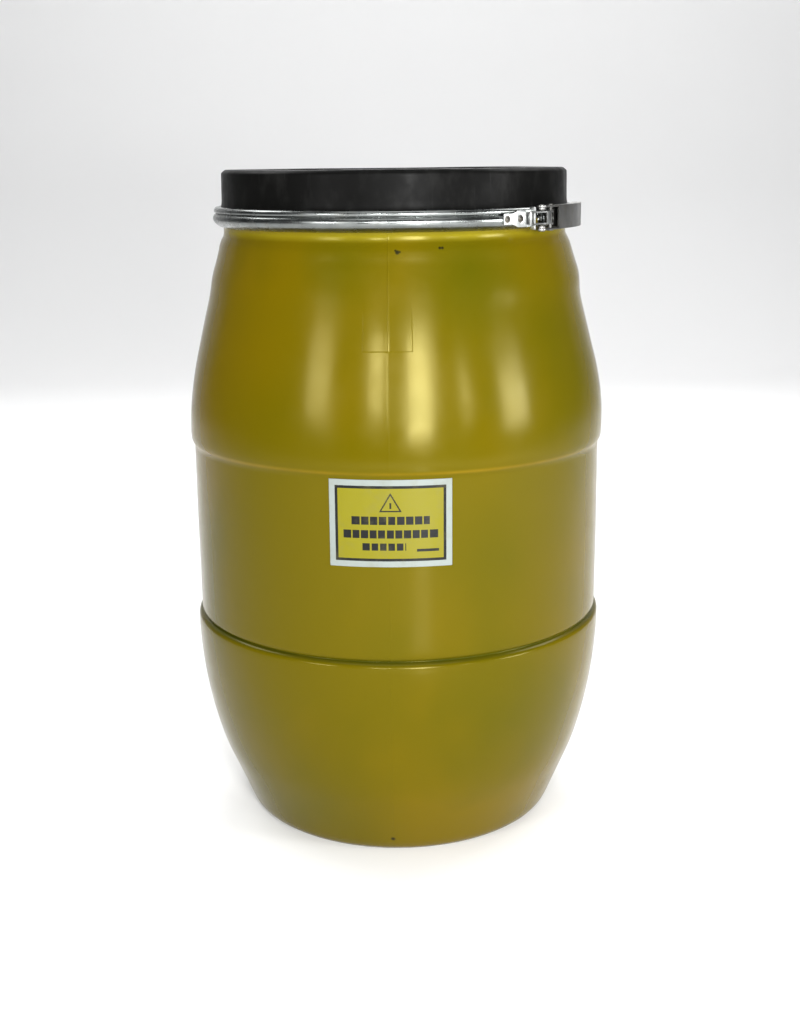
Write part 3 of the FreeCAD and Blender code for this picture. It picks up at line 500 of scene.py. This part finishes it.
yellow = (0.080, 0.0610, 0.0004)
yellow_warm = (0.103, 0.0700, 0.0004)
yellow_green = (0.048, 0.0480, 0.0006)
yellow_worn = (0.13, 0.11, 0.007)
# a painted highlight for the upper belly's lower edge
painted_edge_highlight = (0.19, 0.115, 0.003)
# a painted sheen for the neck
painted_neck_sheen = (0.20, 0.165, 0.008)
yellow_gloss = (1.0, 0.89, 0.36, 1.0)
# painted shade for the groove over the lower belly, a dark green
painted_groove_shade = (0.026, 0.032, 0.002)
grime = (0.008, 0.008, 0.004)
drum_plastic, tree, shader = new_material("drum_plastic")
colour = mixed(tree, spread(tree, noise(tree, 3.1, 2.0), 0.42, 0.62), yellow, yellow_warm)
for spot, reach, share in (
    (at_bearing(0.215, 44, 0.61), 0.13, 0.50),
    (at_bearing(0.205, 22, 0.675), 0.075, 0.80),
    (at_bearing(0.205, -14, 0.688), 0.060, 0.55),
    (at_bearing(0.245, 30, 0.36), 0.11, 0.45),
    (at_bearing(0.235, 34, 0.17), 0.12, 0.60),
    (at_bearing(0.205, -40, 0.04), 0.16, 0.50),
):
    colour = mixed(tree, times(tree, near(tree, spot, reach), share), colour, yellow_green)
patches = noise(tree, 5.3, 3.0, 0.5, (1, 1, 0.6), (3.1, 0.4, 1.7))
colour = mixed(tree, spread(tree, patches, 0.50, 0.78, 0.0, 0.60), colour, yellow_green)
colour = mixed(
    tree, spread(tree, noise(tree, 900.0, 2.0, 0.6), 0.35, 0.75, 0.0, 0.06), colour, yellow_worn
)


def level(tree, middle, reach):
    """One at a height on the object, falling to nothing at reach above and below it."""
    where = tree.nodes.new("ShaderNodeTexCoord")
    parts = tree.nodes.new("ShaderNodeSeparateXYZ")
    tree.links.new(where.outputs["Object"], parts.inputs[0])
    off = tree.nodes.new("ShaderNodeMath")
    off.operation = "SUBTRACT"
    off.inputs[1].default_value = middle
    tree.links.new(parts.outputs["Z"], off.inputs[0])
    size = tree.nodes.new("ShaderNodeMath")
    size.operation = "ABSOLUTE"
    tree.links.new(off.outputs["Value"], size.inputs[0])
    return spread(tree, size.outputs["Value"], 0.0, reach, 1.0, 0.0)


# painted shade in the groove over the lower belly, a painted highlight on the upper belly's edge, a
# painted sheen on the neck
uneven = spread(tree, noise(tree, 14.0, 3.0, 0.5), 0.3, 0.7, 0.55, 1.0)
# the groove's inner corner is darkened to dark green: painted shade
colour = mixed(tree, times(tree, level(tree, 0.2551, 0.0042), uneven), colour, painted_groove_shade)
# a lighter orange band along the upper belly's lower edge: a painted highlight
edge = times(
    tree, level(tree, 0.4665, 0.0030), spread(tree, noise(tree, 12.0, 3.0), 0.3, 0.7, 0.2, 0.7)
)
colour = mixed(tree, edge, colour, painted_edge_highlight)
# a paler yellow band round the neck under the ring: a painted sheen
neck_sheen_share = times(
    tree, level(tree, 0.7110, 0.0065), spread(tree, noise(tree, 9.0, 2.0), 0.3, 0.7, 0.2, 0.8)
)
colour = mixed(tree, neck_sheen_share, colour, painted_neck_sheen)
for spot, reach in (
    (at_bearing(0.2051, 0.75, 0.695), 0.0030),
    (at_bearing(0.2048, 1.5, 0.6953), 0.0019),
    (at_bearing(0.2045, 0.2, 0.6968), 0.0018),
    (at_bearing(0.2040, 13.4, 0.6988), 0.0020),
    (at_bearing(0.2040, 14.2, 0.6988), 0.0020),
    (at_bearing(0.1930, -2.5, 0.0200), 0.0040),
):
    spot_share = spread(tree, near(tree, spot, reach), 0.0, 0.45, 0.0, 0.95)
    colour = mixed(tree, spot_share, colour, grime)
tree.links.new(colour, shader.inputs["Base Color"])
tree.links.new(
    spread(tree, noise(tree, 34.0, 5.0, 0.6), 0.3, 0.7, 0.16, 0.24), shader.inputs["Roughness"]
)
shader.inputs["IOR"].default_value = 1.26
shader.inputs["Specular Tint"].default_value = yellow_gloss
bumped(tree, shader, noise(tree, 420.0, 2.0, 0.5), 0.00003, 0.12)
dress(shell, drum_plastic)
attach(shell, "drum")
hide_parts("drum_body")


# ---------------------------------------------------------------------------------------------
# Label: a printed film 0.3 mm thick stuck on the plain middle band. It has a white margin, a
# black frame and a yellow field with a plain triangle and blocks in place of any writing.
# ---------------------------------------------------------------------------------------------
label_bearing = -1.7
label_radius = 244.6 * mm
label_width, label_height = 133 * mm, 96 * mm
label_low = 364.2 * mm
label_sheet, label_lift, rim_depth = 0.3 * mm, 0.35 * mm, 0.8 * mm
wrinkle_depth = 0.10 * mm
line_pitch = 0.5 * mm


def printed(across, up):
    """Which ink lies at a place on the label, from its middle, in metres: 0 paper, 1 black ink,
    2 yellow. Each mark is a rectangle or the band between two triangles, tested on its edges."""
    ink = np.zeros(np.broadcast(across, up).shape, dtype=np.int32)
    black_ink, yellow_ink = 1, 2

    def block(middle, rise, width, tall, value):
        """Inks a rectangle, given by its middle and its size in millimetres."""
        inside = (np.abs(across - middle * mm) < width * mm / 2) & (
            np.abs(up - rise * mm) < tall * mm / 2
        )
        ink[inside] = value

    def triangle(rise, size, value):
        """Inks a triangle over the label's middle, given by its base's height and its size."""
        share = (up - rise * mm) / (size * mm)
        half = 0.58 * (1 - share) * size * mm
        ink[(share > 0) & (share < 1) & (np.abs(across) < half)] = value

    block(0, 0, 120, 83, black_ink)
    block(0, 0, 114, 77, yellow_ink)
    triangle(13.0, 21.0, black_ink)
    triangle(14.6, 16.4, yellow_ink)
    block(0, 19.6, 1.8, 6.4, black_ink)
    block(40, -29.5, 24, 2.6, black_ink)
    for middle, rise, width, tall, pitch, gap in (
        (0, 3.5, 84, 8.6, 9.6, 1.7),
        (0, -11.5, 102, 8.6, 9.2, 1.6),
        (-7, -25.5, 47, 8.0, 9.0, 1.6),
    ):
        block(middle, rise, width, tall, black_ink)
        for place in np.arange(-width / 2 + pitch, width / 2 - 1.0, pitch):
            block(middle + place, rise, gap, 9.6, yellow_ink)
    return ink


def label_film():
    """A piece of the cylinder between two bearings. Its outside stands one film thickness off
    the shell, and the rim turns down into the shell all round, as one more line of points under
    each edge. The print is laid on whole cells, so that its edges follow the grid's lines."""
    columns = int(round(label_width / line_pitch)) + 1
    rows = int(round(label_height / line_pitch)) + 1
    across = np.linspace(-label_width / 2, label_width / 2, columns)
    up = np.linspace(-label_height / 2, label_height / 2, rows)
    angle = math.radians(label_bearing) + across / label_radius
    height = label_low + label_height / 2 + up
    wrinkle = wrinkle_depth * (
        np.sin(across[None, :] * 210.0 + up[:, None] * 90.0)
        * np.sin(across[None, :] * 95.0 - up[:, None] * 160.0 + 1.0)
    )
    fade = np.clip((label_width / 2 - np.abs(across)) / (4 * mm), 0, 1)[None, :]

    def on_cylinder(radius):
        """Points of the grid at a radius, which may differ from point to point."""
        x = radius * np.sin(angle)[None, :]
        y = -radius * np.cos(angle)[None, :]
        shape = (rows, columns)
        return np.stack([np.broadcast_to(part, shape) for part in (x, y, height[:, None])], axis=-1)

    face = on_cylinder(label_radius + label_sheet + label_lift + wrinkle * fade)
    points = np.pad(on_cylinder(label_radius - rim_depth), ((1, 1), (1, 1), (0, 0)), mode="edge")
    points[1:-1, 1:-1] = face
    middle_across = (across[1:] + across[:-1]) / 2
    middle_up = (up[1:] + up[:-1]) / 2
    ink = np.pad(printed(middle_across[None, :], middle_up[:, None]), 1)
    return grid_object("label_film", points), ink


film, film_ink = label_film()
inks = []
for name, ink_colour, rough in (
    ("label_paper", (0.200, 0.225, 0.21), 0.34),
    ("label_black", (0.0025, 0.003, 0.0025), 0.30),
    ("label_yellow", (0.152, 0.136, 0.0015), 0.30),
):
    ink, tree, shader = new_material(name)
    dirt = spread(tree, noise(tree, 60.0, 5.0, 0.6), 0.52, 0.80, 0.0, 0.30)
    tree.links.new(mixed(tree, dirt, ink_colour, (0.12, 0.11, 0.04)), shader.inputs["Base Color"])
    shader.inputs["Roughness"].default_value = rough
    shader.inputs["Specular IOR Level"].default_value = 0.22
    inks.append(ink)
dress(film, *inks)
film.data.polygons.foreach_set("material_index", film_ink.ravel())
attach(film, "drum")
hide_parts("label")


# ---------------------------------------------------------------------------------------------
# Lid: one injection-moulded piece of black polyethylene. Its flange lies on the drum's bead
# under the clamp ring, its rim wall stands over the lip, and its middle is dished so that the
# foot of another drum sits in it.
# ---------------------------------------------------------------------------------------------
lid_outline = [
    (0.0, 750 * mm, 3 * mm),
    (127.5 * mm, 750 * mm, 1.6 * mm),
    (135.5 * mm, 745 * mm, 1.6 * mm),
    (177.0 * mm, 745 * mm, 1.6 * mm),
    (182.8 * mm, 748.5 * mm, 2.0 * mm),
    (183.2 * mm, 775 * mm, 1.6 * mm),
    (187.2 * mm, 780 * mm, 1.2 * mm),
    (197.0 * mm, 780 * mm, 1.1 * mm),
    (201.6 * mm, 776.4 * mm, 1.0 * mm),
    (202.0 * mm, 752 * mm, 3 * mm),
    (202.0 * mm, 744 * mm, 2.2 * mm),
    (203.2 * mm, 737.2 * mm, 1.6 * mm),
    (207.6 * mm, 732.4 * mm, 0.6 * mm),
    (207.9 * mm, 727.4 * mm, 0.4 * mm),
    (198.0 * mm, 727.4 * mm, 0.6 * mm),
    (197.6 * mm, 774 * mm, 0.7 * mm),
    (187.2 * mm, 774 * mm, 0.7 * mm),
    (187.0 * mm, 741 * mm, 0.8 * mm),
    (136.0 * mm, 740.8 * mm, 1.6 * mm),
    (127.0 * mm, 745.8 * mm, 1.6 * mm),
    (0.0, 745.8 * mm, 3 * mm),
]


def turned_points(profile, bearings):
    """Surface of revolution: row i, column j is profile point i carried to bearing j."""
    angle = np.radians(bearings)
    radius, height = profile[:, :1], profile[:, 1:]
    x = radius * np.sin(angle)[None, :]
    y = -radius * np.cos(angle)[None, :]
    return np.stack([x, y, np.broadcast_to(height, x.shape)], axis=-1)


lid_path, lid_softness = traced(lid_outline, 1.0 * mm)
lid_profile = spaced_by_bend(softened(lid_path, lid_softness), 190, 5 * mm)[::-1]
lid_profile[[0, -1], 0] = 0.0
lid_bearings = np.arange(256) * 360.0 / 256
lid_angle = np.radians(lid_bearings)[None, :]
lid_rim = np.exp(-(((lid_profile[:, 1:] - 0.779) / 0.012) ** 2))
lid_waves = 0.20 * mm * np.sin(3 * lid_angle + 0.7) + 0.16 * mm * np.sin(5 * lid_angle + 2.0)
lid_points = turned_points(lid_profile, lid_bearings)
lid_points[..., 2] += lid_waves * lid_rim
lid_shell = grid_object("lid_shell", lid_points, around=True)
closed_pole(lid_shell, len(lid_profile), len(lid_bearings), len(lid_profile) - 1)
closed_pole(lid_shell, len(lid_profile), len(lid_bearings), 0)

lid_plastic, tree, shader = new_material("lid_plastic")
black = (0.0032, 0.0032, 0.0030)
black_worn = (0.016, 0.016, 0.015)
dust = spread(tree, noise(tree, 45.0, 6.0, 0.62, (1, 1, 0.5)), 0.50, 0.82, 0.0, 0.50)
colour = mixed(tree, dust, black, black_worn)
scratch = spread(tree, noise(tree, 240.0, 2.0, 0.5, (1, 1, 0.06)), 0.66, 0.80, 0.0, 0.25)
colour = mixed(tree, scratch, colour, (0.035, 0.035, 0.034))
tree.links.new(colour, shader.inputs["Base Color"])
tree.links.new(
    spread(tree, noise(tree, 50.0, 4.0, 0.6), 0.3, 0.7, 0.30, 0.46), shader.inputs["Roughness"]
)
shader.inputs["IOR"].default_value = 1.22
shader.inputs["Specular IOR Level"].default_value = 0.13
bumped(tree, shader, noise(tree, 420.0, 2.0, 0.5), 0.00004, 0.2)
dress(lid_shell, lid_plastic)
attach(lid_shell, "lid_assembly")
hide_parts("lid")


# ---------------------------------------------------------------------------------------------
# Gasket: a ring of closed-cell foam that fills the roof of the lid's channel, over the drum's
# lip. Its corners are soft, because it is cut from foamed sheet and pressed in.
# ---------------------------------------------------------------------------------------------
def ring_sweep(name, section, bearings, around=True):
    """Sweeps a closed section (radius, height) round the drum's axis."""
    return grid_object(name, turned_points(section, bearings), around=around, along=True)


gasket_corners = [
    (187.4 * mm, 768.4 * mm, 0.5 * mm),
    (197.4 * mm, 768.4 * mm, 0.5 * mm),
    (197.4 * mm, 773.9 * mm, 0.5 * mm),
    (187.4 * mm, 773.9 * mm, 0.5 * mm),
    (187.4 * mm, 768.4 * mm, 0.5 * mm),
]
gasket_path, gasket_softness = traced(gasket_corners, 0.4 * mm)
gasket_section = softened(gasket_path[:-1], gasket_softness[:-1], closed=True)
gasket = ring_sweep("gasket_ring", gasket_section[::2], np.arange(192) * 360.0 / 192)
gasket_foam, tree, shader = new_material("gasket_foam")
grey = spread(tree, noise(tree, 1200.0, 2.0, 0.5), 0.35, 0.7)
foam_dark, foam_pale = (0.035, 0.035, 0.035), (0.075, 0.075, 0.075)
tree.links.new(mixed(tree, grey, foam_dark, foam_pale), shader.inputs["Base Color"])
shader.inputs["Roughness"].default_value = 0.85
bumped(tree, shader, noise(tree, 1500.0, 2.0, 0.5), 0.0002, 0.8)
dress(gasket, gasket_foam)
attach(gasket, "lid_assembly")
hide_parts("lid_gasket")


# ---------------------------------------------------------------------------------------------
# Clamp band: a thin strip of zinc-coated steel, rolled into a channel with a rounded
# bead over a rounded web, then bent into a ring that is open between its two ends. On the real
# drum the strip springs when the lever lets go and the pulled end moves off; here it is one fixed
# sweep.
# ---------------------------------------------------------------------------------------------
band_plane, band_sheet_gauge = 727.0, 1.2 * mm
band_start, band_end = 48.62, 404.18
band_line = [
    (203.4, 11.4, 0.35),
    (206.4, 11.8, 0.6),
    (209.8, 10.9, 0.8),
    (211.6, 8.4, 0.8),
    (211.2, 5.6, 0.45),
    (208.9, 4.3, 0.30),
    (211.0, 3.1, 0.45),
    (212.7, 0.4, 0.9),
    (212.7, -3.2, 1.0),
    (210.8, -6.6, 0.9),
    (207.0, -9.6, 0.8),
    (203.2, -11.3, 0.35),
]


def strip_section(line, thickness):
    """Outline of a bent strip, from its outer line: the line is smoothed, copied inwards along
    its own normal by the thickness, and the two are joined round both ends."""
    vertices = [(r * mm, (band_plane + z) * mm, soft * mm) for r, z, soft in line]
    path, softness = traced(vertices, 0.3 * mm)
    smooth = spaced_by_bend(softened(path, softness), 44, 2.5 * mm)
    along = np.gradient(smooth, axis=0)
    along /= np.linalg.norm(along, axis=1, keepdims=True)
    inward = np.stack([along[:, 1], -along[:, 0]], axis=1)
    inner = (smooth + inward * thickness)[::-1][::2]
    end = (smooth[-1] + inner[0]) / 2 + along[-1] * 0.25 * thickness
    start = (smooth[0] + inner[-1]) / 2 - along[0] * 0.25 * thickness
    return np.concatenate([smooth, [end], inner, [start]])[::-1]


band_section = strip_section(band_line, band_sheet_gauge)
band_bearings = np.linspace(band_start, band_end, 420)
band_sheet = ring_sweep("clamp_strip", band_section, band_bearings, around=False)


def capped(item, rows, columns):
    """Closes both ends of an open sweep with a flat face, and turns all faces outwards."""
    shape = bmesh.new()
    shape.from_mesh(item.data)
    shape.verts.ensure_lookup_table()
    for column in (0, columns - 1):
        bmesh.ops.contextual_create(
            shape, geom=[shape.verts[row * columns + column] for row in range(rows)]
        )
    bmesh.ops.triangulate(shape, faces=[face for face in shape.faces if len(face.verts) > 4])
    bmesh.ops.recalc_face_normals(shape, faces=shape.faces)
    shape.to_mesh(item.data)
    shape.free()
    item.data.shade_smooth()


capped(band_sheet, len(band_section), len(band_bearings))


def zinc(name, base, rough_low, rough_high, dirt_share=0.25):
    """Zinc-coated steel: bright metal with patches of duller coat, fine grain and a little
    brown dirt."""
    material, tree, shader = new_material(name)
    dull = tuple(0.72 * part for part in base)
    coat = spread(tree, noise(tree, 40.0, 3.0, 0.5), 0.35, 0.70, 0.0, 0.8)
    colour = mixed(tree, coat, base, dull)
    dirt = noise(tree, 60.0, 3.0, 0.5, (1, 1, 1), (4.0, 2.0, 9.0))
    dirt = spread(tree, dirt, 0.50, 0.8, 0.0, dirt_share)
    colour = mixed(tree, dirt, colour, (0.16, 0.12, 0.07))
    tree.links.new(colour, shader.inputs["Base Color"])
    shader.inputs["Metallic"].default_value = 1.0
    fine = spread(tree, noise(tree, 55.0, 3.0, 0.5), 0.3, 0.7, rough_low, rough_high)
    tree.links.new(fine, shader.inputs["Roughness"])
    return material


ring_steel = zinc("ring_steel", (0.215, 0.227, 0.221), 0.20, 0.33, 0.18)
dress(band_sheet, ring_steel)
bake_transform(band_sheet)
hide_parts("clamp_band")


# ---------------------------------------------------------------------------------------------
# Pull bracket: a folded plate of zinc-plated steel riveted to the strip's loose end. Its ear
# stands up across the strip and is slotted for the link's two straps.
# ---------------------------------------------------------------------------------------------
def refined(node, name, edge_round, bend_round=0.0, is_bend=None):
    """A copy of a CAD piece with its flat parts merged and its sharp edges rounded. The edges
    that is_bend picks are folds of the sheet and get the larger rounding bend_round."""
    shape = bmesh.new()
    shape.from_mesh(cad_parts[node].data)
    bmesh.ops.remove_doubles(shape, verts=shape.verts, dist=2e-6)
    bmesh.ops.dissolve_limit(
        shape, angle_limit=math.radians(1.0), verts=shape.verts, edges=shape.edges
    )

    def sharp_edges():
        """Edges where two faces meet at more than a gentle angle."""
        return [
            edge for edge in shape.edges
            if len(edge.link_faces) == 2 and edge.calc_face_angle() > math.radians(28)
        ]

    if is_bend:
        folds = [
            edge for edge in sharp_edges()
            if is_bend(
                (edge.verts[0].co + edge.verts[1].co) / 2, edge.verts[1].co - edge.verts[0].co
            )
        ]
        bmesh.ops.bevel(shape, geom=folds, offset=bend_round, segments=4, profile=0.5,
                        affect="EDGES", clamp_overlap=True)
    bmesh.ops.bevel(shape, geom=sharp_edges(), offset=edge_round, segments=2, profile=0.5,
                    affect="EDGES", clamp_overlap=True)
    bmesh.ops.triangulate(shape, faces=[face for face in shape.faces if len(face.verts) > 4])
    bmesh.ops.remove_doubles(shape, verts=shape.verts, dist=2e-6)
    bmesh.ops.recalc_face_normals(shape, faces=shape.faces)
    mesh = bpy.data.meshes.new(name)
    shape.to_mesh(mesh)
    shape.free()
    mesh.shade_smooth()
    mesh.set_sharp_from_angle(angle=math.radians(32))
    return linked(name, mesh)


def fitted(item, body, node, material):
    """Dresses a piece, lets it ride with a body and puts it in the CAD piece's place."""
    dress(item, material)
    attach(item, body)
    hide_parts(node)


bracket_steel = zinc("bracket_steel", (0.47, 0.485, 0.48), 0.30, 0.42, 0.20)
pull_plate = refined("pull_bracket", "pull_plate", 0.22 * mm)
fitted(pull_plate, "ring_pull_end", "pull_bracket", bracket_steel)


# ---------------------------------------------------------------------------------------------
# Pull bracket's rivets: two round-headed steel rivets through the plate and the strip.
# ---------------------------------------------------------------------------------------------
rivet_steel = zinc("rivet_steel", (0.085, 0.085, 0.08), 0.34, 0.48, 0.5)
for node in ("pull_bracket_rivet_1", "pull_bracket_rivet_2"):
    pull_rivet = refined(node, node.replace("bracket", "plate"), 0.12 * mm)
    fitted(pull_rivet, "ring_pull_end", node, rivet_steel)


# ---------------------------------------------------------------------------------------------
# Lever bracket: a zinc-plated plate riveted to the strip's fixed end, with two arms that reach
# over the gap and carry the lever's pivot.
# ---------------------------------------------------------------------------------------------
lever_steel = zinc("lever_steel", (0.23, 0.228, 0.218), 0.28, 0.44, 0.35)
lever_base = refined("lever_bracket", "lever_base", 0.22 * mm)
fitted(lever_base, "ring", "lever_bracket", lever_steel)


# ---------------------------------------------------------------------------------------------
# Lever bracket's rivets: two more of the same round-headed rivets, under the lever.
# ---------------------------------------------------------------------------------------------
for node in ("lever_bracket_rivet_1", "lever_bracket_rivet_2"):
    base_rivet = refined(node, node.replace("bracket", "base"), 0.12 * mm)
    fitted(base_rivet, "ring", node, rivet_steel)


# ---------------------------------------------------------------------------------------------
# Pivot rivets: one above and one below, each joins a flange of the lever to the arm beside it.
# ---------------------------------------------------------------------------------------------
for node in ("lever_pivot_rivet_top", "lever_pivot_rivet_bottom"):
    pivot_rivet = refined(node, node.replace("lever_", ""), 0.30 * mm)
    fitted(pivot_rivet, "ring", node, rivet_steel)


# ---------------------------------------------------------------------------------------------
# Lever: a channel pressed from steel sheet 1.8 mm thick and zinc plated, now dull. Its web and
# flanges meet in pressed bends; it is the handle that pulls the ring shut.
# ---------------------------------------------------------------------------------------------
def web_fold(middle, way):
    """The long edges where the web turns down into the flanges, and the web's own end."""
    radius = math.hypot(middle.x, middle.y)
    return radius > 218.2 * mm and abs(middle.z - band_plane * mm) > 12.4 * mm and abs(way.z) < 1e-5


lever_channel = refined("lever", "lever_channel", 0.22 * mm, 1.3 * mm, web_fold)
fitted(lever_channel, "lever_arm", "lever", lever_steel)


# ---------------------------------------------------------------------------------------------
# Link pin: a headed steel pin through both of the lever's flanges and both of the straps.
# ---------------------------------------------------------------------------------------------
hinge_pin = refined("link_pin", "hinge_pin", 0.30 * mm)
fitted(hinge_pin, "lever_arm", "link_pin", rivet_steel)


# ---------------------------------------------------------------------------------------------
# Hook link: a zinc-plated stirrup of two straps, a bridge and a round bar. The bar hooks behind
# the pull bracket's ear and draws it towards the lever's pin.
# ---------------------------------------------------------------------------------------------
stirrup = refined("link", "stirrup", 0.25 * mm)
link_steel = zinc("link_steel", (0.24, 0.245, 0.24), 0.30, 0.42, 0.30)
fitted(stirrup, "hook_link", "link", link_steel)


# ---------------------------------------------------------------------------------------------
# Seal lug: a small folded plate on the strip at the lever's tip, drilled for a seal's wire.
# ---------------------------------------------------------------------------------------------
seal_plate = refined("seal_lug", "seal_plate", 0.22 * mm)
fitted(seal_plate, "ring", "seal_lug", bracket_steel)


# ---------------------------------------------------------------------------------------------
# Seal lug's rivet: one round-headed rivet through the lug's foot and the strip.
# ---------------------------------------------------------------------------------------------
lug_rivet = refined("seal_lug_rivet", "lug_rivet", 0.12 * mm)
fitted(lug_rivet, "ring", "seal_lug_rivet", rivet_steel)
